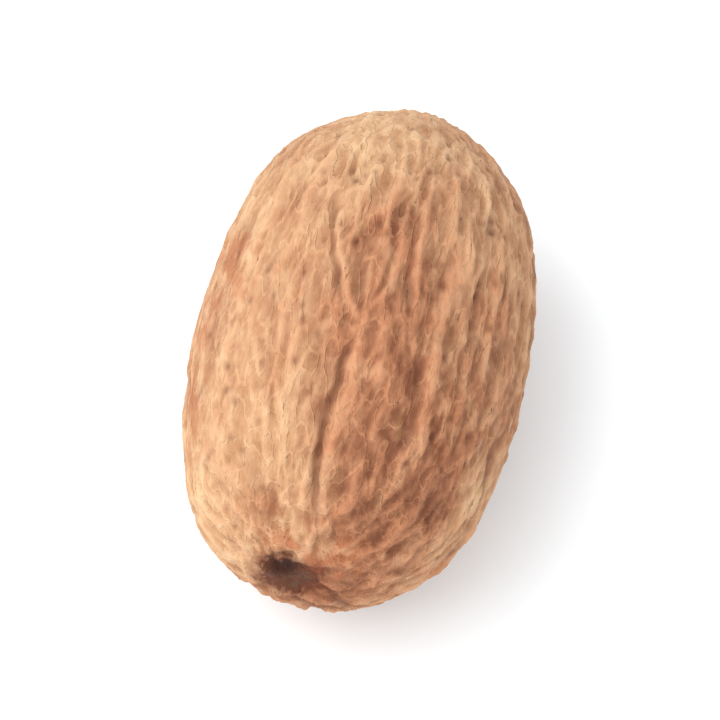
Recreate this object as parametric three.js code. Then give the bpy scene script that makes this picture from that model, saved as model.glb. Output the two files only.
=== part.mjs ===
// A whole nutmeg, the dried seed of Myristica fragrans, lying on its side.
//
// Millimetres, +Z up. The long axis lies along Y: the chalaza, a dark sunken scar, is at the -Y end, and the
// hilum, a pale disc, is at the +Y end. The origin is below the middle, on the flat spot the seed rests on.
// A longitude is an angle in degrees round the long axis, from the top (+Z) towards +X.
import * as THREE from "three";
import { mergeVertices } from "three/addons/utils/BufferGeometryUtils.js";

// Driving sizes of the smooth seed, before its relief.
const LENGTH = 29.0;
const WIDTH = 18.1;
const HEIGHT = 17.7;
const BLUNTNESS = 2.25; // power of the long section: 2 is an ellipse, more is blunter
const EGG = -0.03; // share by which the hilum end is fuller, or the chalaza end where it is below 0
const REST_DEPTH = 0.3; // how far the underside is worn flat
const REST_REACH = 3.2; // how far from the middle of the flat spot the relief is worn away

// The mesh: rows of faces round each quarter of the seed, and along its flanks.
const ROWS_ACROSS = 26;
const ROWS_ALONG = 36;

// The net of raised veins that covers the whole seed.
const NET_CELL = 2.3; // across
const NET_STRETCH = 3.6; // along, in cells
const NET_HEIGHT = 0.22;
const NET_LEVEL = 0.45; // share of the height that lies below the smooth seed
const VEIN_WIDTH = 0.5;
const NET_CONVERGENCE = 0.45; // how strongly the net gathers towards both ends
const NET_SEED = 11;
const WANDER = 0.55; // how far the net strays sideways
const WANDER_SPACING = 3.2;
const WANDER_SEED = 23;

// Broad unevenness.
const LUMP_HEIGHT = 0.2;
const LUMP_SPACING = 6.5;
const LUMP_SEED = 5;

// The scars at the two ends, and how uneven their edges are.
const CHALAZA = { x: -0.4, z: 1.4, radius: 1.75, depth: 0.35, rim: 0.12 };
const HILUM = { x: 0.2, z: -0.4, radius: 3.1, depth: 0.35, rim: 0.16 };
const SCAR_SLOPE = [0.45, 1.2]; // from its floor to its edge, in radii
const SCAR_RIM_WIDTH = 0.6;
const SCAR_RAGGEDNESS = 0.3;
const SCAR_NOTCHES = 1.1; // spacing
const SCAR_SEED = 71;

// Swellings and hollows of the outline: longitude, y, reach and height.
const SWELLINGS = [
  { longitude: 62, y: 9.2, reach: 4.2, height: 0.22 },
  { longitude: -66, y: 9.6, reach: 4.2, height: 0.22 },
  { longitude: -48, y: 13.0, reach: 3.2, height: -0.25 },
  { longitude: -72, y: -11.0, reach: 4.0, height: 0.3 },
  { longitude: 80, y: -11.5, reach: 4.0, height: 0.25 },
  { longitude: -20, y: -8.5, reach: 3.5, height: 0.12 },
  { longitude: 165, y: 4.0, reach: 5.0, height: -0.1 },
];

// The deepest furrows and the highest veins, each from one longitude and y to another, with a bow to one side
// and a sway to both in degrees. Each takes a share of its length to fade at both ends.
const LINE_FADE = 0.3;
const FURROWS = [
  { from: [9, -14.0], to: [0, -2.6], bow: -9, sway: -2.5, width: 0.45, depth: 0.3 },
  { from: [-20, -14.0], to: [-36, -8.6], bow: 0, sway: 2, width: 0.6, depth: 0.14 },
  { from: [-17, 6.4], to: [0, -3.2], bow: -3.5, sway: 0, width: 0.45, depth: 0.22 },
  { from: [11, 6.8], to: [21, -3.4], bow: 0, sway: 0.6, width: 0.45, depth: 0.22 },
  { from: [31, 3.8], to: [27, -1.2], bow: 0, sway: 0, width: 0.45, depth: 0.16 },
  { from: [45, 9.2], to: [43, -5.0], bow: 1, sway: 0, width: 0.45, depth: 0.2 },
  { from: [28, -4.4], to: [24, -10.8], bow: 3, sway: 0, width: 0.45, depth: 0.2 },
  { from: [41, -8.6], to: [34, -13.2], bow: 0, sway: 2, width: 0.45, depth: 0.18 },
  { from: [57, -7.0], to: [67, -11.8], bow: 3, sway: 0, width: 0.45, depth: 0.2 },
  { from: [-66, -5.6], to: [-50, 2.0], bow: 0, sway: 4, width: 0.5, depth: 0.14 },
];
const VEINS = [
  { from: [-13, 6.0], to: [4.5, -3.0], bow: -3.5, sway: 0, width: 0.45, height: 0.16 },
  { from: [3, -1.6], to: [-1, -10.4], bow: 1.5, sway: 0, width: 0.45, height: 0.18 },
  { from: [8.5, -0.6], to: [12, -6.6], bow: 2.5, sway: 0, width: 0.45, height: 0.14 },
  { from: [3.5, 9.6], to: [8, 0.4], bow: 0, sway: 1, width: 0.45, height: 0.16 },
  { from: [15.5, 6.4], to: [25, -3.4], bow: 0, sway: 0.6, width: 0.45, height: 0.18 },
  { from: [34, 6.4], to: [36, -6.6], bow: 1, sway: 0, width: 0.45, height: 0.2 },
  { from: [39, 4.8], to: [42, 10.6], bow: 3, sway: 0, width: 0.45, height: 0.16 },
  { from: [48, 6.6], to: [55, -3.2], bow: 2, sway: 1, width: 0.45, height: 0.18 },
  { from: [22, -8.6], to: [5, -13.2], bow: 8, sway: 0, width: 0.45, height: 0.16 },
  { from: [80, -12.9], to: [64, -5.8], bow: 6, sway: 0, width: 0.45, height: 0.16 },
  { from: [100, -13.9], to: [87, -6.6], bow: 10, sway: 0, width: 0.5, height: 0.2 },
  { from: [-26, 10.5], to: [-31, -2.0], bow: 2, sway: 1, width: 0.5, height: 0.12 },
];

// Furrows of the chalaza end, straight as seen along the long axis: a crack beside the scar, and its folds.
const CHALAZA_FURROWS = [
  { from: { x: 1.2, z: 0.6 }, to: { x: 2.5, z: -1.8 }, width: 0.45, depth: 0.22 },
  { from: { x: -0.4, z: -0.9 }, to: { x: 2.2, z: -2.5 }, width: 0.45, depth: 0.18 },
  { from: { x: -1.9, z: 0.2 }, to: { x: -3.2, z: -2.6 }, width: 0.5, depth: 0.2 },
  { from: { x: 0.3, z: -1.4 }, to: { x: 0.6, z: -4.4 }, width: 0.5, depth: 0.2 },
];

// Slits that spread from the middle of the hilum, each random in its angle and in its share of the length.
const HILUM_SLITS = 7;
const SLIT = { start: 1.2, end: 3.0, width: 0.45, depth: 0.3 };
const SLIT_SHARES = [0.75, 1.1];
const SLIT_TURNS = [0, 0.5]; // in slits
const SLIT_SEED = 67;

// The sides that the furrows above leave bare are furrowed at random, between these least and most sizes.
const SIDE_FURROWS = 22;
const SIDE_LONGITUDES = [78, 284];
const SIDE_STARTS = [-12.5, 1.5];
const SIDE_LENGTHS = [6, 14];
const SIDE_TURNS = [-8, 8];
const SIDE_SWAYS = [2, 5];
const SIDE_WIDTHS = [0.45, 0.7];
const SIDE_DEPTHS = [0.16, 0.3];
const SIDE_LAST = 13; // the furthest y that one reaches
const SIDE_SEED = 41;

// Widens from 0 to 1 as a value goes from low to high.
function ease(low, high, value) {
  const t = Math.min(1, Math.max(0, (value - low) / (high - low)));
  return t * t * (3 - 2 * t);
}

// A bell curve of height 1 and the given half width.
function bell(distance, width) {
  return Math.exp(-((distance / width) ** 2));
}

// The place at a share of the way between two ends.
function between([low, high], share) {
  return low + (high - low) * share;
}

// A repeatable random number from 0 to 1 for three whole numbers and a seed.
function randomAt(i, j, k, seed) {
  let hash = Math.imul(i, 0x9e3779b1) + Math.imul(j, 0x85ebca77);
  hash = (hash + Math.imul(k, 0xc2b2ae3d) + Math.imul(seed, 0x27d4eb2f)) | 0;
  hash = Math.imul(hash ^ (hash >>> 15), 0x2c1b3c6d);
  hash = Math.imul(hash ^ (hash >>> 12), 0x297a2d39);
  return ((hash ^ (hash >>> 15)) >>> 0) / 2 ** 32;
}

// Smooth random unevenness from -1 to 1, with one bump or hollow a unit.
function unevenness(x, y, z, seed) {
  const cell = [Math.floor(x), Math.floor(y), Math.floor(z)];
  const blend = (t) => t ** 3 * (t * (6 * t - 15) + 10);
  const [fx, fy, fz] = [x - cell[0], y - cell[1], z - cell[2]].map(blend);
  let sum = 0;
  for (let corner = 0; corner < 8; corner++) {
    const [i, j, k] = [corner & 1, (corner >> 1) & 1, corner >> 2];
    const weight = (i ? fx : 1 - fx) * (j ? fy : 1 - fy) * (k ? fz : 1 - fz);
    sum += weight * randomAt(cell[0] + i, cell[1] + j, cell[2] + k, seed);
  }
  return 2 * sum - 1;
}

// How far a place is from the edge between two cells of a random cell pattern: 0 on the edge itself.
function distanceToCellEdge(x, y, z, seed) {
  const cell = [Math.floor(x), Math.floor(y), Math.floor(z)];
  let nearest = Infinity;
  let second = Infinity;
  for (let step = 0; step < 27; step++) {
    const i = cell[0] + (step % 3) - 1;
    const j = cell[1] + (Math.floor(step / 3) % 3) - 1;
    const k = cell[2] + Math.floor(step / 9) - 1;
    const distance = Math.hypot(
      i + randomAt(i, j, k, seed) - x,
      j + randomAt(i, j, k, seed + 1) - y,
      k + randomAt(i, j, k, seed + 2) - z,
    );
    second = Math.min(second, Math.max(nearest, distance));
    nearest = Math.min(nearest, distance);
  }
  return (second - nearest) / 2;
}

// The distance from the long axis as a share of the seed's half width and half height.
function shareFromAxis(x, z) {
  return Math.hypot(x / (WIDTH / 2), z / (HEIGHT / 2));
}

// The point of the smooth seed in a direction that is given in shares of its half sizes.
function smoothPoint(direction) {
  const across = Math.hypot(direction.x, direction.z);
  const along = Math.abs(direction.y);
  const scale = (across ** BLUNTNESS + along ** BLUNTNESS) ** (-1 / BLUNTNESS);
  const egg = 1 + EGG * direction.y * scale;
  return new THREE.Vector3(
    (WIDTH / 2) * direction.x * scale * egg,
    (LENGTH / 2) * direction.y * scale,
    (HEIGHT / 2) * direction.z * scale * egg,
  );
}

// The outward direction of the smooth seed at one of its points.
function outward(point) {
  const across = shareFromAxis(point.x, point.z) ** (BLUNTNESS - 2);
  const along = Math.abs(point.y / (LENGTH / 2)) ** (BLUNTNESS - 2);
  return new THREE.Vector3(
    (across * point.x) / (WIDTH / 2) ** 2,
    (along * point.y) / (LENGTH / 2) ** 2,
    (across * point.z) / (HEIGHT / 2) ** 2,
  ).normalize();
}

// The smooth seed's point at a longitude and y.
function pointAt(longitude, y) {
  const share = y / (LENGTH / 2);
  const across = (1 - Math.abs(share) ** BLUNTNESS) ** (1 / BLUNTNESS) * (1 + EGG * share);
  const angle = THREE.MathUtils.degToRad(longitude);
  const [x, z] = [(WIDTH / 2) * across * Math.sin(angle), (HEIGHT / 2) * across * Math.cos(angle)];
  return new THREE.Vector3(x, y, z);
}

// How much a place is on a furrow or vein, from 0 to 1, fading at both ends of it.
function onLine(point, line) {
  const reach = line.to[1] - line.from[1];
  const along = (point.y - line.from[1]) / reach;
  if (along <= 0 || along >= 1) return 0;
  const [arch, wave] = [Math.PI * along, 2 * Math.PI * along];
  const change = line.to[0] - line.from[0];
  const middle = line.from[0] + change * along + line.bow * Math.sin(arch) + line.sway * Math.sin(wave);
  const longitude = THREE.MathUtils.radToDeg(Math.atan2(point.x / WIDTH, point.z / HEIGHT));
  const turn = THREE.MathUtils.euclideanModulo(longitude - middle + 180, 360) - 180;
  const arc = THREE.MathUtils.degToRad(1) * Math.hypot(point.x, point.z);
  const bend = Math.PI * (line.bow * Math.cos(arch) + 2 * line.sway * Math.cos(wave));
  const sideways = (turn * arc) / Math.hypot(1, ((change + bend) / reach) * arc);
  return ease(0, LINE_FADE, along) * ease(0, LINE_FADE, 1 - along) * bell(sideways, line.width);
}

// A furrow of one end, straight as seen along the long axis.
function endFurrowDepth(point, furrow, end) {
  if (point.y * end < 0) return 0;
  const [dx, dz] = [furrow.to.x - furrow.from.x, furrow.to.z - furrow.from.z];
  const share = ((point.x - furrow.from.x) * dx + (point.z - furrow.from.z) * dz) / (dx * dx + dz * dz);
  const along = THREE.MathUtils.clamp(share, 0, 1);
  const sideways = Math.hypot(point.x - furrow.from.x - along * dx, point.z - furrow.from.z - along * dz);
  return furrow.depth * bell(sideways, furrow.width);
}

// The slits of the hilum, unevenly spread and of uneven length.
function hilumSlits() {
  const slits = [];
  for (let i = 0; i < HILUM_SLITS; i++) {
    const angle = (2 * Math.PI * (i + between(SLIT_TURNS, randomAt(i, 0, 0, SLIT_SEED)))) / HILUM_SLITS;
    const end = SLIT.end * between(SLIT_SHARES, randomAt(i, 1, 0, SLIT_SEED));
    const at = (radius) => ({ x: HILUM.x + radius * Math.sin(angle), z: HILUM.z + radius * Math.cos(angle) });
    slits.push({ from: at(SLIT.start), to: at(end), width: SLIT.width, depth: SLIT.depth });
  }
  return slits;
}

// Furrows spread at random over the far flank, the underside and the near flank.
function sideFurrows() {
  const furrows = [];
  for (let i = 0; i < SIDE_FURROWS; i++) {
    const random = (k) => randomAt(i, k, 0, SIDE_SEED);
    const longitude = between(SIDE_LONGITUDES, (i + random(0)) / SIDE_FURROWS);
    const start = between(SIDE_STARTS, random(1));
    const end = start + between(SIDE_LENGTHS, random(3));
    furrows.push({
      from: [longitude, start],
      to: [longitude + between(SIDE_TURNS, random(2)), Math.min(SIDE_LAST, end)],
      bow: 0,
      sway: between(SIDE_SWAYS, random(4)),
      width: between(SIDE_WIDTHS, random(5)),
      depth: between(SIDE_DEPTHS, random(6)),
    });
  }
  return furrows;
}

// The net of veins: raised along the edges of long cells that gather towards both ends.
function netRelief(point) {
  const gather = Math.max(0.05, shareFromAxis(point.x, point.z)) ** -NET_CONVERGENCE;
  const [wx, wy, wz] = [point.x, point.y / 2, point.z].map((value) => value / WANDER_SPACING);
  const stray = (seed) => WANDER * unevenness(wx, wy, wz, WANDER_SEED + seed);
  const edge = distanceToCellEdge(
    (point.x * gather + stray(0)) / NET_CELL,
    (point.y + stray(1)) / (NET_CELL * NET_STRETCH),
    (point.z * gather + stray(2)) / NET_CELL,
    NET_SEED,
  );
  return NET_HEIGHT * (bell(edge * NET_CELL, VEIN_WIDTH) - NET_LEVEL);
}

// Broad lumps, and the named swellings.
function lumpRelief(point) {
  const [x, y, z] = [point.x, point.y, point.z].map((value) => value / LUMP_SPACING);
  let height = LUMP_HEIGHT * unevenness(x, y, z, LUMP_SEED);
  for (const swelling of SWELLINGS) {
    const centre = pointAt(swelling.longitude, swelling.y);
    height += swelling.height * bell(point.distanceTo(centre), swelling.reach);
  }
  return height;
}

// A roughly round scar at one end, sunken inside its low rim: its height, and its share of each place.
function scarRelief(point, scar, end) {
  if (point.y * end < 0) return { height: 0, cover: 0 };
  const [x, y, z] = [point.x, point.y, point.z].map((value) => value / SCAR_NOTCHES);
  const ragged = 1 + SCAR_RAGGEDNESS * unevenness(x, y, z, SCAR_SEED);
  const distance = Math.hypot(point.x - scar.x, point.z - scar.z) * ragged;
  const cover = 1 - ease(...SCAR_SLOPE, distance / scar.radius);
  const rim = scar.rim * bell(distance - scar.radius - SCAR_RIM_WIDTH / 2, SCAR_RIM_WIDTH);
  return { height: rim - scar.depth * cover, cover };
}

const FLANK_FURROWS = [...FURROWS, ...sideFurrows()];
const SLITS = hilumSlits();

// How high the veins of the list above stand at a place.
function veinRelief(point) {
  return VEINS.reduce((sum, vein) => sum + vein.height * onLine(point, vein), 0);
}

// How deep all the furrows together cut into a place.
function furrowRelief(point) {
  const flank = FLANK_FURROWS.reduce((sum, furrow) => sum + furrow.depth * onLine(point, furrow), 0);
  const near = CHALAZA_FURROWS.reduce((sum, furrow) => sum + endFurrowDepth(point, furrow, -1), 0);
  const far = SLITS.reduce((sum, slit) => sum + endFurrowDepth(point, slit, 1), 0);
  return -(flank + near + far);
}

// The height of the finished surface over the smooth seed.
function relief(point) {
  const chalaza = scarRelief(point, CHALAZA, -1);
  const hilum = scarRelief(point, HILUM, 1);
  const bare = (1 - chalaza.cover) * (1 - hilum.cover);
  const underside = point.z < 0 ? bell(Math.hypot(point.x, point.y), REST_REACH) : 0;
  const skin = bare * (netRelief(point) + veinRelief(point)) + furrowRelief(point);
  return skin * (1 - underside) + lumpRelief(point) + chalaza.height + hilum.height;
}

// The closed mesh: a box of faces blown up to the smooth seed, then raised by its relief and cut flat below.
function seedGeometry() {
  const box = new THREE.BoxGeometry(2, 2, 2, ROWS_ACROSS, ROWS_ALONG, ROWS_ACROSS);
  box.deleteAttribute("normal");
  box.deleteAttribute("uv");
  const geometry = mergeVertices(box);
  const position = geometry.getAttribute("position");
  const vertex = new THREE.Vector3();
  for (let i = 0; i < position.count; i++) {
    vertex.fromBufferAttribute(position, i);
    for (const axis of ["x", "y", "z"]) vertex[axis] = Math.tan((Math.PI / 4) * vertex[axis]);
    const smooth = smoothPoint(vertex.normalize());
    const point = smooth.clone().addScaledVector(outward(smooth), relief(smooth));
    point.z = Math.max(point.z, REST_DEPTH - HEIGHT / 2);
    position.setXYZ(i, point.x, point.y, point.z);
  }
  return standOnOrigin(geometry);
}

// Moves the seed so that the origin is at the middle of its underside.
function standOnOrigin(geometry) {
  geometry.computeBoundingBox();
  const middle = geometry.boundingBox.getCenter(new THREE.Vector3());
  geometry.translate(-middle.x, -middle.y, -geometry.boundingBox.min.z);
  geometry.computeVertexNormals();
  return geometry;
}

function shellMaterial() {
  return new THREE.MeshStandardMaterial({ color: 0xc8966f, roughness: 0.8, metalness: 0 });
}

const nutmeg = new THREE.Mesh(seedGeometry(), shellMaterial());
nutmeg.name = "nutmeg";

const part = new THREE.Group();
part.add(nutmeg);

export default part;
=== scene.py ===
"""A whole nutmeg on a pale floor.

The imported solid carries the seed's form and its broad furrows. Here the same surface is worked out again on a
mesh fine enough for the thin veins, the pits and the wrinkles, with a procedural material over it.
Sizes are in millimetres until the mesh is made, and in metres after that. A longitude is an angle in degrees
round the long axis (Y), from the top (+Z) towards +X. The chalaza is at the -Y end, the hilum at the +Y end.
"""

import math
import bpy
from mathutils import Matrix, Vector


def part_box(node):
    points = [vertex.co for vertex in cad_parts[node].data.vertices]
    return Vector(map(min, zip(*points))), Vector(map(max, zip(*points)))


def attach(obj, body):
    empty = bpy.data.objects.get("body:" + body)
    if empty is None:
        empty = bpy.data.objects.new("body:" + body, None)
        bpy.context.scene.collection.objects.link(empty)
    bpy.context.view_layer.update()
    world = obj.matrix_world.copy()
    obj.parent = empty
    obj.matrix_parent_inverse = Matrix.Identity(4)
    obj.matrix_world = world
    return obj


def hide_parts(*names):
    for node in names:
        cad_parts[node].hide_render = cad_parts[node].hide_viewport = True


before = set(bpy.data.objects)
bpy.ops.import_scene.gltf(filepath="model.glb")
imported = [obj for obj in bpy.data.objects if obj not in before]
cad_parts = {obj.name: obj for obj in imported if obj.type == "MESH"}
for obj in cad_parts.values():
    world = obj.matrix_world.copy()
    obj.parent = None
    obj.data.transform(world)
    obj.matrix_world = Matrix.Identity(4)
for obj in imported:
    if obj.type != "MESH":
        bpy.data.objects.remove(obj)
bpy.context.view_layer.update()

from types import SimpleNamespace

import bpy
import numpy as np
from mathutils import Vector

MM = 0.001

# The smooth seed, as in the solid.
LENGTH = 29.0
WIDTH = 18.1
HEIGHT = 17.7
BLUNTNESS = 2.25
EGG = -0.03
REST_DEPTH = 0.3
REST_REACH = 3.2

# Rows of faces across and along the seed.
ROWS = (112, 160, 112)

# Broad unevenness, and swellings of the outline: longitude, y, reach and height.
LUMP_HEIGHT = 0.2
LUMP_SPACING = 6.5
LUMP_SEED = 5
SWELLINGS = [
    (62, 9.2, 4.2, 0.22),
    (-66, 9.6, 4.2, 0.22),
    (-48, 13.0, 3.2, -0.25),
    (-72, -11.0, 4.0, 0.3),
    (80, -11.5, 4.0, 0.25),
    (-20, -8.5, 3.5, 0.12),
    (165, 4.0, 5.0, -0.1),
]

# The wandering of every line on the surface: how far, how far apart, and the seed. Along the seed it changes
# half as fast as across it.
BROAD_WANDER = (0.55, 3.2, 23)
CLOSE_WANDER = (0.3, 1.3, 31)
TIGHT_WANDER = (0.12, 0.5, 37)
WANDER_SHAPE = (1, 0.5, 1)

# The nets of veins: cell width, length in cells, height, half width of a vein, and the seed. Then the share
# of each net's height that lies below the smooth seed.
BROAD_NET = (2.3, 3.6, 0.13, 0.24, 11)
MIDDLE_NET = (1.25, 4.0, 0.09, 0.16, 17)
BROAD_NET_LEVEL = 0.4
MIDDLE_NET_LEVEL = 0.3

# How strongly the nets and wrinkles gather towards both ends, how near to the long axis they still do so, and
# how much lower a vein is where it runs crosswise.
NET_CONVERGENCE = 0.45
NEAREST_TO_AXIS = 0.05
CROSSWISE_LOSS = 0.6

# The least steepness that a net's distances are divided by, in cells, and one that is as good as none.
LEAST_STEEPNESS = 0.3
TINY_STEEPNESS = 1e-6

# The wrinkles between the veins: width, length in widths, height and the seed. Then how broad a crest is, in
# the measure of ripples, and the share of the height that lies below the smooth seed.
LONG_WRINKLES = (1.0, 3.4, 0.068, 43)
SHORT_WRINKLES = (0.45, 2.4, 0.028, 47)
WRINKLE_CREST = 0.26
WRINKLE_LEVEL = 0.5

# How long a furrow or vein takes to fade at both ends, as a share of its length, and how its strength changes
# on the way: the spacing of the changes, their amount and the seed.
LINE_FADE = 0.3
LINE_CHANGES = (1.4, 0.2, 59)

# Furrows and veins, each from one longitude and y to another, with a bow to one side and a sway to both in
# degrees, then the half width and the depth or height.
FURROWS = [
    (9, -14.6, 3, -1.6, -8.5, -2, 0.25, 0.28),
    (-20, -14.0, -36, -8.6, 0, 2, 0.55, 0.08),
    (-17, 6.4, 0, -3.2, -3.5, 0, 0.26, 0.18),
    (9, 4.2, 1, -3.0, 4, 0, 0.22, 0.11),
    (11, 6.8, 21, -3.4, 0, 0.6, 0.28, 0.18),
    (31, 3.8, 27, -1.2, 0, 0, 0.32, 0.14),
    (22, 0.4, 35, -6.8, -1, 2, 0.28, 0.15),
    (45, 9.2, 44, 3.0, 1, 0, 0.28, 0.15),
    (44, 4.0, 43, -5.0, 1, 0, 0.3, 0.15),
    (28, -4.4, 24, -10.8, 3, 0, 0.3, 0.16),
    (58, 5.0, 62, -2.0, 2, 0, 0.34, 0.12),
    (57, -7.0, 67, -11.8, 3, 0, 0.32, 0.16),
    (67, -14.1, 68, -11.0, 4, 0, 0.3, 0.16),
    (41, -8.6, 34, -13.2, 0, 2, 0.3, 0.16),
    (7, -12.0, 26, -13.8, 0, 0, 0.22, 0.16),
    (-34, 8.6, -34, 2.6, 0, 1, 0.24, 0.1),
    (-20, 2.6, -12, -5.4, -2, 1, 0.2, 0.1),
    (-18, 9.4, -8, 5.2, 0, 0, 0.18, 0.08),
    (-62, -2.6, -50, -4.8, 0, 0, 0.22, 0.1),
    (-66, -5.6, -50, 2.0, 0, 4, 0.4, 0.1),
]
VEINS = [
    (-14, 6.0, 3.5, -3.0, -3.5, 0, 0.2, 0.18),
    (11, 4.0, 3.5, -2.6, 4, 0, 0.2, 0.16),
    (4.5, -1.6, 0.5, -10.4, 1.5, 0, 0.2, 0.16),
    (8.5, -0.6, 12, -6.6, 2.5, 0, 0.2, 0.14),
    (3.5, 9.6, 8, 0.4, 0, 1, 0.22, 0.16),
    (14.5, 6.4, 24, -3.4, 0, 0.6, 0.2, 0.2),
    (33, 6.4, 33, 0.6, 3, 0, 0.24, 0.2),
    (33, 3.4, 36, -6.6, -2, 0, 0.26, 0.2),
    (39, 4.8, 42, 10.6, 3, 0, 0.22, 0.18),
    (38, 4.8, 27, 3.6, -2, 0, 0.2, 0.12),
    (47, 6.6, 55, -3.2, 2, 1, 0.2, 0.18),
    (26, 9.6, 30, 3.2, 0, 1, 0.22, 0.14),
    (-3, 10.4, -9, 3.0, 1, 1, 0.22, 0.14),
    (22, -8.6, 5, -13.2, 8, 0, 0.18, 0.16),
    (46, -9.0, 57, -6.5, 3, 0, 0.18, 0.18),
    (57, -6.5, 58, -10.2, 3, 0, 0.18, 0.18),
    (36, -5.0, 41, -8.8, -4, 0, 0.18, 0.16),
    (100, -13.9, 87, -6.6, 10, 0, 0.24, 0.2),
    (80, -12.9, 64, -5.8, 6, 0, 0.2, 0.14),
    (-26, 10.5, -31, -2.0, 2, 1, 0.26, 0.12),
    (-44, 9.0, -47, -9.0, 2, 2, 0.3, 0.1),
    (-20, 1.4, -14, -8.4, -1, 1, 0.22, 0.12),
]

# The furrows spread at random over the sides that the rows above leave bare, each between these ends.
SIDE_FURROWS = 22
SIDE_LONGITUDES = (78, 284)
SIDE_STARTS = (-12.5, 1.5)
SIDE_LENGTHS = (6, 14)
SIDE_TURNS = (-8, 8)
SIDE_SWAYS = (2, 5)
SIDE_WIDTHS = (0.3, 0.5)
SIDE_DEPTHS = (0.16, 0.3)
SIDE_LAST = 13
SIDE_SEED = 41

# Furrows of the chalaza end as seen along the long axis: x and z of both ends, half width and depth.
CHALAZA_FURROWS = [
    (1.2, 0.6, 2.5, -1.8, 0.34, 0.34),
    (-0.4, -0.9, 2.2, -2.5, 0.32, 0.28),
    (-1.9, 0.2, -3.2, -2.6, 0.4, 0.2),
    (0.3, -1.4, 0.6, -4.4, 0.4, 0.2),
]

# The scars at the two ends: x and z of the middle, radius, depth and rim height.
CHALAZA = (-0.4, 1.4, 1.75, 0.35, 0.12)
HILUM = (0.2, -0.4, 3.1, 0.35, 0.16)
SCAR_SLOPE = (0.45, 1.3)
SCAR_RIM_WIDTH = 0.6
SCAR_RAGGEDNESS = 0.3
SCAR_NOTCHES = 1.1
SCAR_SEED = 71

# The dark stain over the chalaza, given like a scar that has no depth and no rim, and the darkest part of it:
# x, z and reach.
CHALAZA_STAIN = (-0.85, 1.15, 1.8, 0, 0)
CHALAZA_CORE = (-1.3, 2.0, 1.0)

# The slits that spread from the middle of the hilum: start and end, half width and depth, then the random
# share of the length and turn off its angle of each.
HILUM_SLITS = 7
SLIT = (1.2, 3.0, 0.3, 0.3)
SLIT_SHARES = (0.75, 1.1)
SLIT_TURNS = (0, 0.5)
SLIT_SEED = 67

# The named pits: longitude and y.
PITS = [
    (29.3, 1.2),
    (36.1, -2.8),
    (59.5, -9.8),
    (46.6, 5.9),
    (53, 3.5),
    (-10.5, 6.3),
    (35, -9.0),
    (24.2, 9.5),
    (2.2, 3.6),
    (-4.5, 2.2),
    (-44, -6.6),
    (44, 1.7),
    (50, -8.4),
    (44, -10.6),
    (60, -7.4),
    (41, -7.2),
]

# More pits scattered at random: how many, up to which y, and their smallest size and its range as shares of a
# named pit's. Then a pit's radius and depth, and its shape, which is longer along the seed.
SCATTERED_PITS = 420
PITTED_REACH = 13
PIT_SIZES = (0.35, 0.5)
PIT_RADIUS = 0.2
PIT_DEPTH = 0.16
PIT_SHAPE = (1, 0.6, 1)
PIT_SEED = 83

# The flank and the end of the back that are smoother than the rest, and the shoulder that is more wrinkled:
# longitude, y and reach. Then how smooth the back is, as a share of the flank.
SMOOTH_FLANK = (-46, -2.0, 8.5)
SMOOTH_BACK = (0, 12, 5.5)
WRINKLED_SHOULDER = (48, -9.5, 6.5)
SMOOTH_BACK_SHARE = 0.8

# The share that each part of the relief loses where the seed is smoothest, the share that the shoulder adds
# to the short wrinkles, and the share that all wrinkles lose on the hilum.
CALM_BROAD_NET = 0.5
CALM_MIDDLE_NET = 0.7
CALM_LONG_WRINKLES = 0.4
CALM_SHORT_WRINKLES = 0.3
CALM_PITS = 0.5
CALM_CRESTS = 0.5
SHOULDER_GAIN = 0.9
HILUM_LOSS = 0.6

# How pale the material is on a wrinkle's crest, and what it loses away from it for long and short wrinkles.
# Then how pale it is on the veins of both nets, for a millimetre of a named vein's height, and at most.
CREST_PALENESS = 0.5
LONG_WRINKLE_FALL = 1.1
SHORT_WRINKLE_FALL = 0.4
BROAD_NET_PALENESS = 0.65
MIDDLE_NET_PALENESS = 0.4
VEIN_PALENESS = 6.5
MOST_PALENESS = 1.3

# How brown the seed is: its mean, then the spacing, amount and seed of its blotches, large and small.
MEAN_TONE = 0.73
BLOTCHES = [(6.0, 0.14, 101), (2.0, 0.14, 103)]

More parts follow.
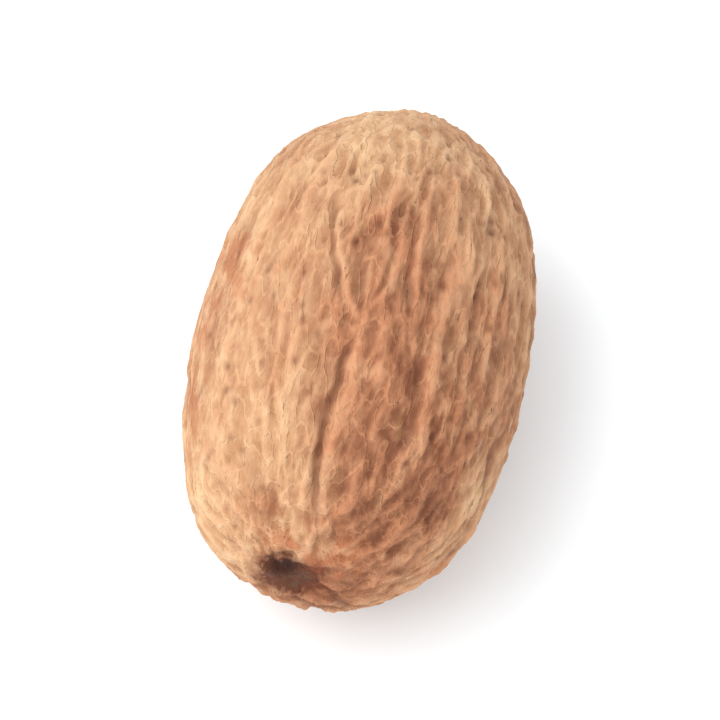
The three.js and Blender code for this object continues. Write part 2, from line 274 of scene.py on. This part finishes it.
# Where the seed is browner, or paler where the amount is below 0: longitude, y, reach and amount.
# Most rows are the seed's own tone; the rows noted below are painted light or shade.
TONES = [
    # Partly the seed's own paler colour, partly a painted highlight on the flank that faces the key light.
    (-44, -6, 6.0, -0.23),
    (-11, -7.2, 2.5, 0.12),
    (4, 13, 4.0, -0.29),
    (1, 7.5, 4.0, -0.33),
    (26, 10, 2.5, -0.15),
    (-22, 0.5, 3.8, 0.36),
    (-20, 6.6, 3.2, 0.26),
    (-20, -10, 3.0, -0.15),
    (-3, 1, 3.0, -0.25),
    (8, 2.3, 2.1, 0.32),
    # Painted shade: with the two rows noted below, a browner belt across the middle.
    (-1, -4, 4.0, 0.36),
    (13, -7, 2.8, -0.4),
    (33, -4.2, 1.7, 0.12),
    # Painted shade, part of the browner belt across the middle.
    (26, 0, 3.0, 0.24),
    (35, -1.5, 2.0, -0.25),
    (43, -5.3, 1.8, -0.12),
    # Painted shade, part of the browner belt across the middle.
    (54, -4, 3.5, 0.24),
    (58, 2.4, 2.3, 0.5),
    # Painted reflected light: the right edge paler where light comes back up from the floor.
    (72, 2.5, 3.2, -0.55),
    (3, 0, 2.5, -0.26),
    (25, -8, 2.6, 0.46),
    # Partly rust colour, partly painted shade and a painted reddish reflection along the left edge.
    (-56, -1.2, 3.0, 0.34),
    (18, 6.6, 2.6, 0.47),
    (43, 6.4, 4.0, -0.38),
    (20, -10, 3.3, 0.46),
    (38, -10, 2.6, -0.76),
    (54, -9.6, 2.4, 0.88),
    (75, -8.6, 2.3, -0.5),
    (23, -12.3, 1.9, 0.58),
    (2, -12.3, 2.0, -0.2),
    (-29, -12.2, 2.2, 0.42),
    (-37, -8.5, 2.5, 0.2),
    (-14, -14.3, 1.8, 0.3),
    (65, -14.1, 1.5, 0.45),
    (84, 2, 3.5, 0.1),
    (150, -3, 7.0, 0.16),
    (-140, 4, 7.0, 0.12),
]

# The pale flank beside the main furrow: the longitudes over which it ends on either side, and the amount.
# It is partly the seed's own cream and partly a painted highlight where the key light falls.
PALE_FLANK = ((-16, 2), (-80, -130), -0.26)

# Rusty patches, which along the left edge also paint shade and a reddish reflection: longitude, y and reach.
RUST_AND_SHADE_PATCHES = [
    (-84, 3, 3.5),
    (-80, -6, 3.5),
    (-60, 11, 2.2),
    (-64, -0.5, 2.4),
    (-54, 2.0, 2.2),
    (-14, -13.6, 1.6),
    (20, -13.9, 1.8),
    (120, 8, 4.0),
    (170, -10, 3.0),
]

# The colours of the seed, the floor and the world, in the usual 0 to 255 steps.
# The crest colours are partly a painted highlight, and the hollow colours partly painted shade.
PALE_CREST = (217, 182, 141)
PALE_HOLLOW = (193, 144, 102)
BROWN_CREST = (186, 127, 91)
BROWN_HOLLOW = (119, 72, 48)
# Furrow brown, which in the furrows is partly painted shade.
FURROW_BROWN = (102, 58, 39)
# Rust brown, which along the left edge also stands in for painted shade and a reddish reflection.
RUST_AND_SHADE_BROWN = (163, 91, 56)
SCORCHED = (92, 46, 28)
BUTTON = (92, 64, 48)
CHARRED = (52, 22, 8)
SCAR_PALE = (210, 184, 151)
FLOOR_WHITE = (243, 247, 248)
WORLD_WHITE = (252, 253, 255)

# How strongly a pit and the hilum take on their colour, and how much of a glint the seed has.
PIT_SHADE = 0.72
HILUM_SHADE = 0.7
GLINT = 0.2

# How far the bumps of the ridges, the threads and the grain stand out.
RIDGE_BUMP = 0.045
THREAD_BUMP = 0.02
GRAIN_BUMP = 0.025

# The floor's half width and roughness. Lengths are in metres from here on.
FLOOR_REACH = 0.6
FLOOR_ROUGHNESS = 0.9

# The camera's place round the seed, and the width that it sees at the seed.
CAMERA_AZIMUTH = 11.7
CAMERA_ELEVATION = 62
CAMERA_DISTANCE = 0.6
SEEN_WIDTH = 39 * MM
SENSOR = 36

# The lights: name, azimuth, elevation, width and watts. Then their distance, and the world's strength.
LIGHTS = [
    ("key", -80, 50, 0.6, 2.2),
    ("fill", 0, 30, 0.6, 0.8),
]
LIGHT_DISTANCE = 0.5
WORLD_STRENGTH = 1.06

# What makes the repeatable random numbers, in 32 bits: the factors, the mixing steps (shift and factor) and
# the last shift.
HASH_MASK = np.uint64(0xFFFFFFFF)
HASH_FACTORS = (0x9E3779B1, 0x85EBCA77, 0xC2B2AE3D, 0x27D4EB2F)
HASH_STEPS = ((15, 0x2C1B3C6D), (12, 0x297A2D39))
HASH_LAST_SHIFT = 15


def ease(low, high, value):
    """Widens from 0 to 1 as a value goes from low to high."""
    share = np.clip((value - low) / (high - low), 0, 1)
    return share * share * (3 - 2 * share)


def bell(distance, width):
    """A bell curve of height 1 and the given half width."""
    return np.exp(-((distance / width) ** 2))


def between(ends, share):
    """The place at a share of the way between two ends."""
    return ends[0] + (ends[1] - ends[0]) * share


def random_at(i, j, k, seed):
    """A repeatable random number from 0 to 1 for three whole numbers and a seed."""
    parts = [np.asarray(value, np.int64).astype(np.uint64) for value in (i, j, k, seed)]
    value = sum(part * np.uint64(factor) for part, factor in zip(parts, HASH_FACTORS)) & HASH_MASK
    for shift, factor in HASH_STEPS:
        value = ((value ^ (value >> np.uint64(shift))) * np.uint64(factor)) & HASH_MASK
    return (value ^ (value >> np.uint64(HASH_LAST_SHIFT))).astype(float) / 2**32


def draws(count, kinds, seed):
    """A table of repeatable random numbers from 0 to 1, with a row for each of some things."""
    i, k = np.indices((count, kinds)).reshape(2, -1)
    return random_at(i, k, np.zeros_like(i), seed).reshape(count, kinds)


def unevenness(points, seed):
    """Smooth random unevenness from -1 to 1, with one bump or hollow a unit."""
    cell = np.floor(points).astype(np.int64)
    part = points - cell
    part = part**3 * (part * (6 * part - 15) + 10)
    total = 0
    for corner in np.ndindex(2, 2, 2):
        weight = np.prod(np.where(corner, part, 1 - part), axis=1)
        total = total + weight * random_at(*(cell + corner).T, seed)
    return 2 * total - 1


def ripples(points, seed):
    """Smooth random ripples from about -1 to 1, without the flat spots of unevenness."""
    cell = np.floor(points).astype(np.int64)
    part = points - cell
    blend = part**3 * (part * (6 * part - 15) + 10)
    total = 0
    for corner in np.ndindex(2, 2, 2):
        home = cell + corner
        slope = 2 * np.stack([random_at(*home.T, seed + axis) for axis in range(3)], axis=1) - 1
        weight = np.prod(np.where(corner, blend, 1 - blend), axis=1)
        total = total + weight * np.sum(slope * (part - corner), axis=1)
    return 2 * total


def cell_edges(points, seed):
    """How far each place is from the edge between two random cells, and the slope of that distance."""
    cell = np.floor(points).astype(np.int64)
    near = np.full(points.shape, np.inf)
    after = np.full(points.shape, np.inf)
    near_distance = np.full(len(points), np.inf)
    after_distance = np.full(len(points), np.inf)
    for step in np.ndindex(3, 3, 3):
        home = cell + np.array(step) - 1
        centre = home + np.stack([random_at(*home.T, seed + axis) for axis in range(3)], axis=1)
        offset = points - centre
        distance = np.linalg.norm(offset, axis=1)
        closest = distance < near_distance
        second = ~closest & (distance < after_distance)
        after = np.where(closest[:, None], near, np.where(second[:, None], offset, after))
        after_distance = np.where(closest, near_distance, np.where(second, distance, after_distance))
        near = np.where(closest[:, None], offset, near)
        near_distance = np.where(closest, distance, near_distance)
    slope = after / after_distance[:, None] - near / near_distance[:, None]
    return after_distance - near_distance, slope


def share_from_axis(points):
    """The distance from the long axis as a share of the seed's half width and half height."""
    return np.hypot(points[:, 0] / (WIDTH / 2), points[:, 2] / (HEIGHT / 2))


def smooth_points(directions):
    """The points of the smooth seed in directions that are given in shares of its half sizes."""
    across = np.hypot(directions[:, 0], directions[:, 2])
    along = np.abs(directions[:, 1])
    scale = (across**BLUNTNESS + along**BLUNTNESS) ** (-1 / BLUNTNESS)
    egg = 1 + EGG * directions[:, 1] * scale
    sizes = np.array([WIDTH, LENGTH, HEIGHT]) / 2
    points = directions * scale[:, None] * sizes
    points[:, 0] *= egg
    points[:, 2] *= egg
    return points


def outward(points):
    """The outward directions of the smooth seed at its points."""
    sizes = np.array([WIDTH, LENGTH, HEIGHT]) / 2
    across = share_from_axis(points) ** (BLUNTNESS - 2)
    along = np.abs(points[:, 1] / sizes[1]) ** (BLUNTNESS - 2)
    slopes = points / sizes**2 * np.stack([across, along, across], axis=1)
    return slopes / np.linalg.norm(slopes, axis=1, keepdims=True)


def point_at(longitude, y):
    """The smooth seed's point at a longitude and y."""
    share = y / (LENGTH / 2)
    across = (1 - abs(share) ** BLUNTNESS) ** (1 / BLUNTNESS) * (1 + EGG * share)
    angle = math.radians(longitude)
    return np.array([WIDTH / 2 * across * math.sin(angle), y, HEIGHT / 2 * across * math.cos(angle)])


def nearness(points, longitude, y, reach):
    """1 at a place on the seed, and less with distance from it."""
    return bell(np.linalg.norm(points - point_at(longitude, y), axis=1), reach)


def stray(points, wander):
    """A random sideways shift that makes lines wander."""
    amount, spacing, seed = wander
    places = points / spacing * WANDER_SHAPE
    return amount * np.stack([unevenness(places, seed + axis) for axis in range(3)], axis=1)


def longitude_of(points):
    """The longitude of each point, from -180 to 180."""
    return np.degrees(np.arctan2(points[:, 0] / WIDTH, points[:, 2] / HEIGHT))


def lines_of(points, rows):
    """How strongly each point is on each row's wandering line: a bell across it, that fades at both ends."""
    longitude = longitude_of(points)
    arc = math.radians(1) * np.hypot(points[:, 0], points[:, 2])
    total = np.zeros(len(points))
    for from_longitude, from_y, to_longitude, to_y, bow, sway, width, height in rows:
        along = (points[:, 1] - from_y) / (to_y - from_y)
        turn = to_longitude - from_longitude
        middle = from_longitude + turn * along
        middle = middle + bow * np.sin(np.pi * along) + sway * np.sin(2 * np.pi * along)
        slant = turn + np.pi * bow * np.cos(np.pi * along) + 2 * np.pi * sway * np.cos(2 * np.pi * along)
        away = (longitude - middle + 180) % 360 - 180
        sideways = away * arc / np.hypot(1, slant / (to_y - from_y) * arc)
        fade = ease(0, LINE_FADE, along) * ease(0, LINE_FADE, 1 - along)
        total = np.maximum(total, height * fade * bell(sideways, width))
    spacing, change, seed = LINE_CHANGES
    return total * (1 + change * unevenness(points / spacing, seed))


def side_furrows():
    """Furrows spread at random over the far flank, the underside and the near flank."""
    rows = []
    for i, draw in enumerate(draws(SIDE_FURROWS, 7, SIDE_SEED)):
        longitude = between(SIDE_LONGITUDES, (i + draw[0]) / SIDE_FURROWS)
        start = between(SIDE_STARTS, draw[1])
        last_longitude = longitude + between(SIDE_TURNS, draw[2])
        end = min(SIDE_LAST, start + between(SIDE_LENGTHS, draw[3]))
        sway = between(SIDE_SWAYS, draw[4])
        width = between(SIDE_WIDTHS, draw[5])
        depth = between(SIDE_DEPTHS, draw[6])
        rows.append((longitude, start, last_longitude, end, 0, sway, width, depth))
    return rows


def end_furrows(points, rows, end):
    """The depth of furrows at one end, straight as seen along the long axis."""
    total = np.zeros(len(points))
    for from_x, from_z, to_x, to_z, width, depth in rows:
        reach = np.array([to_x - from_x, to_z - from_z])
        offset = points[:, [0, 2]] - (from_x, from_z)
        along = np.clip(offset @ reach / (reach @ reach), 0, 1)
        sideways = np.linalg.norm(offset - along[:, None] * reach, axis=1)
        total = total + np.where(points[:, 1] * end > 0, depth * bell(sideways, width), 0)
    return total


def hilum_slits():
    """The slits that spread from the middle of the hilum, unevenly spread and of uneven length."""
    start, end, width, depth = SLIT
    rows = []
    for i, draw in enumerate(draws(HILUM_SLITS, 2, SLIT_SEED)):
        angle = 2 * math.pi * (i + between(SLIT_TURNS, draw[0])) / HILUM_SLITS
        far = end * between(SLIT_SHARES, draw[1])
        places = [HILUM[0] + start * math.sin(angle), HILUM[1] + start * math.cos(angle)]
        places += [HILUM[0] + far * math.sin(angle), HILUM[1] + far * math.cos(angle)]
        rows.append((*places, width, depth))
    return rows


def grain_scale(points, width, stretch):
    """What turns places into a pattern's units, so that it runs lengthwise and gathers towards both ends."""
    across = np.maximum(NEAREST_TO_AXIS, share_from_axis(points)) ** -NET_CONVERGENCE / width
    return np.stack([across, np.full(len(points), 1 / (width * stretch)), across], axis=1)


def wrinkles(points, kind):
    """Random wrinkles from about -1 to 1, whose crests are the lines where this is near 0."""
    width, stretch, _, seed = kind
    return ripples(points * grain_scale(points, width, stretch), seed)


def net_veins(points, directions, net):
    """The raised veins of one net, from 0 to 1, along the edges of long cells."""
    cell, stretch, _, width, seed = net
    scale = grain_scale(points, cell, stretch)
    edge, slope = cell_edges(points * scale, seed)
    slope = slope * scale
    slope = slope - np.sum(slope * directions, axis=1)[:, None] * directions
    steepness = np.linalg.norm(slope, axis=1)
    distance = edge / np.maximum(steepness, LEAST_STEEPNESS / cell)
    crosswise = slope[:, 1] ** 2 / np.maximum(steepness, TINY_STEEPNESS) ** 2
    return bell(distance, width) * (1 - CROSSWISE_LOSS * crosswise)


def scar(points, place, end):
    """A roughly round scar's height, and how much it replaces the relief round it."""
    x, z, radius, depth, rim_height = place
    side = points[:, 1] * end > 0
    ragged = 1 + SCAR_RAGGEDNESS * unevenness(points / SCAR_NOTCHES, SCAR_SEED)
    distance = np.hypot(points[:, 0] - x, points[:, 2] - z) * ragged
    cover = np.where(side, 1 - ease(*SCAR_SLOPE, distance / radius), 0)
    rim = np.where(side, rim_height * bell(distance - radius - SCAR_RIM_WIDTH / 2, SCAR_RIM_WIDTH), 0)
    return rim - depth * cover, cover


def chalaza_core(points):
    """How near each place is to the darkest part of the chalaza, from 0 to 1."""
    x, z, reach = CHALAZA_CORE
    return np.where(points[:, 1] < 0, bell(np.hypot(points[:, 0] - x, points[:, 2] - z), reach), 0)


def pits(points):
    """Small pits, from 0 to 1: the named ones, and more scattered at random."""
    total = np.zeros(len(points))
    places = [(*point_at(longitude, y), 1) for longitude, y in PITS]
    for draw in draws(SCATTERED_PITS, 3, PIT_SEED):
        place = point_at(360 * draw[0], PITTED_REACH * (2 * draw[1] - 1))
        places.append((*place, PIT_SIZES[0] + PIT_SIZES[1] * draw[2]))
    for x, y, z, size in places:
        offset = (points - (x, y, z)) * PIT_SHAPE
        total = np.maximum(total, size * bell(np.linalg.norm(offset, axis=1), PIT_RADIUS * size**0.5))
    return total


def lumps(points):
    """Broad lumps, and the named swellings."""
    height = LUMP_HEIGHT * unevenness(points / LUMP_SPACING, LUMP_SEED)
    for longitude, y, reach, swelling in SWELLINGS:
        height = height + swelling * nearness(points, longitude, y, reach)
    return height


def box_shell(rows):
    """The corners and four-sided faces of a box's surface, as whole steps along x, y and z."""
    corners, faces, count = [], [], 0
    for axis in range(3):
        u, v = (axis + 1) % 3, (axis + 2) % 3
        for side in (0, 1):
            grid = np.zeros((rows[u] + 1, rows[v] + 1, 3), int)
            grid[..., u], grid[..., v] = np.indices(grid.shape[:2])
            grid[..., axis] = side * rows[axis]
            index = count + np.arange(grid[..., 0].size).reshape(grid.shape[:2])
            loops = [index[:-1, :-1], index[1:, :-1], index[1:, 1:], index[:-1, 1:]]
            quads = np.stack(loops, axis=-1).reshape(-1, 4)
            faces.append(quads if side else quads[:, ::-1])
            corners.append(grid.reshape(-1, 3))
            count += index.size
    corners, index = np.unique(np.concatenate(corners), axis=0, return_inverse=True)
    return corners, index.reshape(-1)[np.concatenate(faces)]


def tone_of(points):
    """How brown the seed is at each place, from 0, pale, to 1, dark; some of it is painted light and shade."""
    tone = np.full(len(points), MEAN_TONE)
    for spacing, amount, seed in BLOTCHES:
        tone = tone + amount * unevenness(points / spacing, seed)
    for longitude, y, reach, amount in TONES:
        tone = tone + amount * nearness(points, longitude, y, reach)
    near_side, far_side, amount = PALE_FLANK
    longitude = longitude_of(points)
    return tone + amount * (1 - ease(*near_side, longitude)) * (1 - ease(*far_side, longitude))


def rust_and_shade_of(points):
    """Where the seed may have rusty specks, and along its left edge painted shade with a reddish reflection,
    from 0 to 1.
    """
    total = np.zeros(len(points))
    for longitude, y, reach in RUST_AND_SHADE_PATCHES:
        total = np.maximum(total, nearness(points, longitude, y, reach))
    return total


def patterns_of(smooth):
    """The patterns that the seed's relief and looks are made of, at the points of the smooth seed."""
    normals = outward(smooth)
    tight_stray = stray(smooth, TIGHT_WANDER)
    close_stray = stray(smooth, CLOSE_WANDER) + tight_stray
    strayed = smooth + stray(smooth, BROAD_WANDER)
    closer = strayed + close_stray
    near = smooth + close_stray
    chalaza, chalaza_cover = scar(smooth, CHALAZA, -1)
    hilum, hilum_cover = scar(smooth, HILUM, 1)
    smooth_back = SMOOTH_BACK_SHARE * nearness(smooth, *SMOOTH_BACK)
    return SimpleNamespace(
        normals=normals,
        near=near,
        calm=np.maximum(nearness(smooth, *SMOOTH_FLANK), smooth_back),
        busy=nearness(smooth, *WRINKLED_SHOULDER),
        chalaza=chalaza,
        hilum=hilum,
        hilum_cover=hilum_cover,
        bare=(1 - chalaza_cover) * (1 - hilum_cover),
        broad=net_veins(strayed + tight_stray, normals, BROAD_NET),
        middle=net_veins(closer, normals, MIDDLE_NET),
        long=wrinkles(closer, LONG_WRINKLES),
        short=wrinkles(closer, SHORT_WRINKLES),
        veins=lines_of(near, VEINS),
        furrows=lines_of(near, FURROWS + side_furrows()),
        ends=end_furrows(near, CHALAZA_FURROWS, -1) + end_furrows(near, hilum_slits(), 1),
        pits=pits(smooth),
    )


def skin_height(smooth, found):
    """The height of the veins, wrinkles, furrows and pits over the smooth seed."""
    net = BROAD_NET[2] * (found.broad - BROAD_NET_LEVEL) * (1 - CALM_BROAD_NET * found.calm)
    net = net + MIDDLE_NET[2] * (found.middle - MIDDLE_NET_LEVEL) * (1 - CALM_MIDDLE_NET * found.calm)
    long = bell(found.long, WRINKLE_CREST) - WRINKLE_LEVEL
    short = bell(found.short, WRINKLE_CREST) - WRINKLE_LEVEL
    fine = LONG_WRINKLES[2] * long * (1 - CALM_LONG_WRINKLES * found.calm)
    kept = 1 - CALM_SHORT_WRINKLES * found.calm + SHOULDER_GAIN * found.busy
    fine = fine + SHORT_WRINKLES[2] * short * kept
    skin = found.bare * (net + found.veins) + fine * (1 - HILUM_LOSS * found.hilum_cover)
    skin = skin - found.furrows - found.ends - PIT_DEPTH * found.pits * (1 - CALM_PITS * found.calm)
    underside = np.where(smooth[:, 2] < 0, bell(np.hypot(smooth[:, 0], smooth[:, 1]), REST_REACH), 0)
    return skin * (1 - underside)


def looks_of(smooth, found):
    """What the material reads at each place, by name."""
    wrinkled = LONG_WRINKLE_FALL * np.abs(found.long) + SHORT_WRINKLE_FALL * np.abs(found.short)
    net = np.maximum(found.broad * BROAD_NET_PALENESS, found.middle * MIDDLE_NET_PALENESS)
    return {
        "tone": tone_of(found.near),
        "crest": CREST_PALENESS - wrinkled * (1 - CALM_CRESTS * found.calm),
        "vein": np.clip(net * found.bare + found.veins * VEIN_PALENESS, 0, MOST_PALENESS),
        "furrow": found.furrows + found.ends,
        "pit": found.pits,
        "rust_and_shade": rust_and_shade_of(smooth),
        "chalaza": scar(smooth, CHALAZA_STAIN, -1)[1],
        "core": chalaza_core(found.near),
        "hilum": found.hilum_cover,
    }


def rested(points):
    """The points cut flat below, and moved so that the origin is below their middle on that flat spot."""
    points[:, 2] = np.maximum(points[:, 2], REST_DEPTH - HEIGHT / 2)
    lowest, highest = points.min(axis=0), points.max(axis=0)
    return points - ((lowest + highest) / 2 * (1, 1, 0) + lowest * (0, 0, 1))


def seed_surface(corners):
    """The seed's points for a box's corners, and what its material reads at each of them."""
    directions = np.tan(math.pi / 4 * (2 * corners / np.array(ROWS) - 1))
    directions = directions / np.linalg.norm(directions, axis=1, keepdims=True)
    smooth = smooth_points(directions)
    found = patterns_of(smooth)
    height = skin_height(smooth, found) + lumps(smooth) + found.chalaza + found.hilum
    return rested(smooth + found.normals * height[:, None]), looks_of(smooth, found)


def make_seed():
    """The seed's mesh, with what its material reads stored on its points."""
    corners, faces = box_shell(ROWS)
    points, looks = seed_surface(corners)
    mesh = bpy.data.meshes.new("nutmeg_seed")
    mesh.from_pydata((points * MM).tolist(), [], faces.tolist())
    mesh.shade_smooth()
    for name, values in looks.items():
        mesh.attributes.new(name, "FLOAT", "POINT").data.foreach_set("value", values.astype(np.float32))
    seed = bpy.data.objects.new("nutmeg_seed", mesh)
    bpy.context.scene.collection.objects.link(seed)
    return seed


def linear(red, green, blue):
    """A colour given in the usual 0 to 255 steps, as the shader wants it."""
    steps = np.array([red, green, blue]) / 255
    values = np.where(steps <= 0.04045, steps / 12.92, ((steps + 0.055) / 1.055) ** 2.4)
    return (*values.tolist(), 1)


class Shader:
    """Short names for the shader nodes that the materials are built from."""

    def __init__(self, name):
        self.material = bpy.data.materials.new(name)
        self.material.use_nodes = True
        self.nodes = self.material.node_tree.nodes
        self.surface = self.nodes["Principled BSDF"]
        self.place = self.nodes.new("ShaderNodeTexCoord").outputs["Object"]

    def join(self, value, socket):
        """Links an output to a socket, or sets the socket to a plain value."""
        if isinstance(value, bpy.types.NodeSocket):
            self.material.node_tree.links.new(value, socket)
        else:
            socket.default_value = value

    def attribute(self, name):
        """A number that is stored on the mesh's points."""
        node = self.nodes.new("ShaderNodeAttribute")
        node.attribute_name = name
        return node.outputs["Fac"]

    def math(self, operation, first, second):
        """One calculation with two values, by the shader's name for it."""
        node = self.nodes.new("ShaderNodeMath")
        node.operation = operation
        self.join(first, node.inputs[0])
        self.join(second, node.inputs[1])
        return node.outputs[0]

    def range(self, value, low, high, to_low=0.0, to_high=1.0):
        """Goes smoothly from one value to another as the given one goes from low to high."""
        node = self.nodes.new("ShaderNodeMapRange")
        node.interpolation_type = "SMOOTHSTEP"
        for socket, number in zip(node.inputs, (value, low, high, to_low, to_high)):
            self.join(number, socket)
        return node.outputs["Result"]

    def mix(self, share, first, second):
        """The first colour with a share of the second in it."""
        node = self.nodes.new("ShaderNodeMix")
        node.data_type = "RGBA"
        self.join(share, node.inputs["Factor"])
        first_colour, second_colour = [socket for socket in node.inputs if socket.type == "RGBA"]
        self.join(first, first_colour)
        self.join(second, second_colour)
        return next(socket for socket in node.outputs if socket.type == "RGBA")

    def stretched(self, along):
        """The place on the seed, with lengths along it scaled so that a pattern runs lengthwise."""
        node = self.nodes.new("ShaderNodeMapping")
        node.inputs["Scale"].default_value = (1, along, 1)
        self.join(self.place, node.inputs["Vector"])
        return node.outputs["Vector"]

    def noise(self, spacing, detail=2.0, along=1.0, roughness=0.5):
        """Random patches from 0 to 1, at a spacing in millimetres."""
        node = self.nodes.new("ShaderNodeTexNoise")
        node.inputs["Scale"].default_value = 1 / (spacing * MM)
        node.inputs["Detail"].default_value = detail
        node.inputs["Roughness"].default_value = roughness
        self.join(self.stretched(along), node.inputs["Vector"])
        return node.outputs["Fac"]

    def ridges(self, spacing, along, width):
        """Thin wandering lines: 1 on a line, and 0 between the lines."""
        patches = self.noise(spacing, detail=1, along=along)
        away = self.math("ABSOLUTE", self.math("SUBTRACT", patches, 0.5), 0)
        return self.range(away, 0, width, 1, 0)

    def bump(self, height, depth, below=None):
        """Bumps of a depth in millimetres, over other bumps if there are any below."""
        node = self.nodes.new("ShaderNodeBump")
        node.inputs["Distance"].default_value = depth * MM
        self.join(height, node.inputs["Height"])
        if below is not None:
            self.join(below, node.inputs["Normal"])
        return node.outputs["Normal"]


def skin_colour(shader, mottle, speckle, ridges, threads):
    """The seed's brown: paler on the crests and veins, and darker in the hollows between them."""
    tone = shader.math("ADD", shader.attribute("tone"), shader.range(mottle, 0.3, 0.7, -0.16, 0.16))
    relief = shader.math("ADD", shader.attribute("crest"), shader.range(ridges, 0, 1, -0.16, 0.3))
    relief = shader.math("ADD", relief, shader.range(threads, 0, 1, -0.06, 0.12))
    relief = shader.math("ADD", relief, shader.range(speckle, 0.58, 0.76, 0, -0.25))
    crest = shader.range(shader.math("ADD", relief, shader.attribute("vein")), -0.7, 1.1)
    # Hollows darker and crests paler: partly the seed's own colour, partly painted shade and highlight.
    hollows = shader.mix(tone, linear(*PALE_HOLLOW), linear(*BROWN_HOLLOW))
    crests = shader.mix(tone, linear(*PALE_CREST), linear(*BROWN_CREST))
    colour = shader.mix(crest, hollows, crests)
    return shader.mix(shader.range(tone, 0.85, 1.4, 0, 0.55), colour, linear(*FURROW_BROWN))


def with_marks(shader, colour, mottle):
    """The rust and the dark furrows, both partly painted shade, the pits and the pale hilum over the seed's
    brown.
    """
    # Rusty specks; along the left edge they are partly painted shade and a painted reddish reflection.
    rusty_and_shaded = shader.math("MULTIPLY", shader.attribute("rust_and_shade"), shader.range(mottle, 0.42, 0.62, 0, 0.55))
    colour = shader.mix(rusty_and_shaded, colour, linear(*RUST_AND_SHADE_BROWN))
    # Furrows darker brown: partly their own colour, partly painted shade in the creases.
    furrowed = shader.range(shader.attribute("furrow"), 0.02, 0.24, 0, 0.65)
    colour = shader.mix(furrowed, colour, linear(*FURROW_BROWN))
    pitted = shader.math("MULTIPLY", shader.attribute("pit"), PIT_SHADE)
    colour = shader.mix(pitted, colour, linear(*FURROW_BROWN))
    hilum = shader.math("MULTIPLY", shader.attribute("hilum"), HILUM_SHADE)
    return shader.mix(hilum, colour, linear(*SCAR_PALE))


def with_chalaza(shader, colour, speckle):
    """The dark stain of the chalaza over the rest, with its dull middle and its darkest part."""
    spot = shader.math("MULTIPLY", shader.attribute("chalaza"), shader.range(speckle, 0.3, 0.7, 0.7, 1.3))
    scorched = shader.math("MULTIPLY", shader.range(spot, -0.1, 0.85), shader.range(spot, 0, 0.1))
    colour = shader.mix(scorched, colour, linear(*SCORCHED))
    colour = shader.mix(shader.range(spot, 0.5, 1.4), colour, linear(*BUTTON))
    charred = shader.math("MULTIPLY", shader.attribute("core"), scorched)
    return shader.mix(shader.range(charred, 0.1, 0.9), colour, linear(*CHARRED))


def seed_material():
    """The seed's material, from random patches and lines and from what looks_of gives."""
    shader = Shader("nutmeg_seed")
    mottle = shader.noise(1.0, detail=4, along=0.6, roughness=0.6)
    speckle = shader.noise(0.3, detail=2, along=0.7)
    ridges = shader.ridges(0.8, along=0.3, width=0.06)
    threads = shader.ridges(0.36, along=0.3, width=0.08)
    grain = shader.noise(0.12, detail=3, roughness=0.7)

    colour = skin_colour(shader, mottle, speckle, ridges, threads)
    colour = with_chalaza(shader, with_marks(shader, colour, mottle), speckle)
    shader.join(colour, shader.surface.inputs["Base Color"])
    shader.join(shader.range(mottle, 0.3, 0.7, 0.62, 0.85), shader.surface.inputs["Roughness"])
    shader.surface.inputs["Specular IOR Level"].default_value = GLINT
    fine = shader.bump(threads, THREAD_BUMP, shader.bump(ridges, RIDGE_BUMP))
    shader.join(shader.bump(grain, GRAIN_BUMP, fine), shader.surface.inputs["Normal"])
    return shader.material


def make_floor():
    """The pale floor under the seed."""
    corners = [(x * FLOOR_REACH, y * FLOOR_REACH, 0) for x, y in ((-1, -1), (1, -1), (1, 1), (-1, 1))]
    mesh = bpy.data.meshes.new("floor")
    mesh.from_pydata(corners, [], [(0, 1, 2, 3)])
    floor = bpy.data.objects.new("floor", mesh)
    bpy.context.scene.collection.objects.link(floor)
    shader = Shader("floor")
    shader.surface.inputs["Base Color"].default_value = linear(*FLOOR_WHITE)
    shader.surface.inputs["Roughness"].default_value = FLOOR_ROUGHNESS
    mesh.materials.append(shader.material)


def direction_of(azimuth, elevation):
    """Towards a place at an azimuth from -Y and an elevation above the floor."""
    turn, rise = math.radians(azimuth), math.radians(elevation)
    return Vector((math.sin(turn) * math.cos(rise), -math.cos(turn) * math.cos(rise), math.sin(rise)))


def aim(thing, target, direction, distance):
    """Puts a camera or light at a distance from its target, turned towards it."""
    thing.location = target + direction * distance
    thing.rotation_euler = direction.to_track_quat("Z", "Y").to_euler()
    bpy.context.scene.collection.objects.link(thing)


def make_camera(target):
    """The camera, whose lens takes in the seen width at its distance."""
    lens = bpy.data.cameras.new("camera")
    lens.sensor_width = SENSOR
    lens.lens = SENSOR * CAMERA_DISTANCE / SEEN_WIDTH
    camera = bpy.data.objects.new("camera", lens)
    aim(camera, target, direction_of(CAMERA_AZIMUTH, CAMERA_ELEVATION), CAMERA_DISTANCE)
    bpy.context.scene.camera = camera


def make_light(target, name, azimuth, elevation, width, watts):
    """A square light that is aimed at its target."""
    lamp = bpy.data.lights.new(name, "AREA")
    lamp.size = width
    lamp.energy = watts
    aim(bpy.data.objects.new(name, lamp), target, direction_of(azimuth, elevation), LIGHT_DISTANCE)


def make_world():
    """The even white light from all round."""
    world = bpy.data.worlds.new("studio")
    world.use_nodes = True
    background = world.node_tree.nodes["Background"]
    background.inputs["Color"].default_value = linear(*WORLD_WHITE)
    background.inputs["Strength"].default_value = WORLD_STRENGTH
    bpy.context.scene.world = world


seed = make_seed()
seed.data.materials.append(seed_material())
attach(seed, "root")
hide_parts("nutmeg")

low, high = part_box("nutmeg")
middle = (low + high) / 2
make_floor()
make_camera(middle)
for light in LIGHTS:
    make_light(middle, *light)
make_world()
bpy.context.scene.view_settings.view_transform = "Standard"
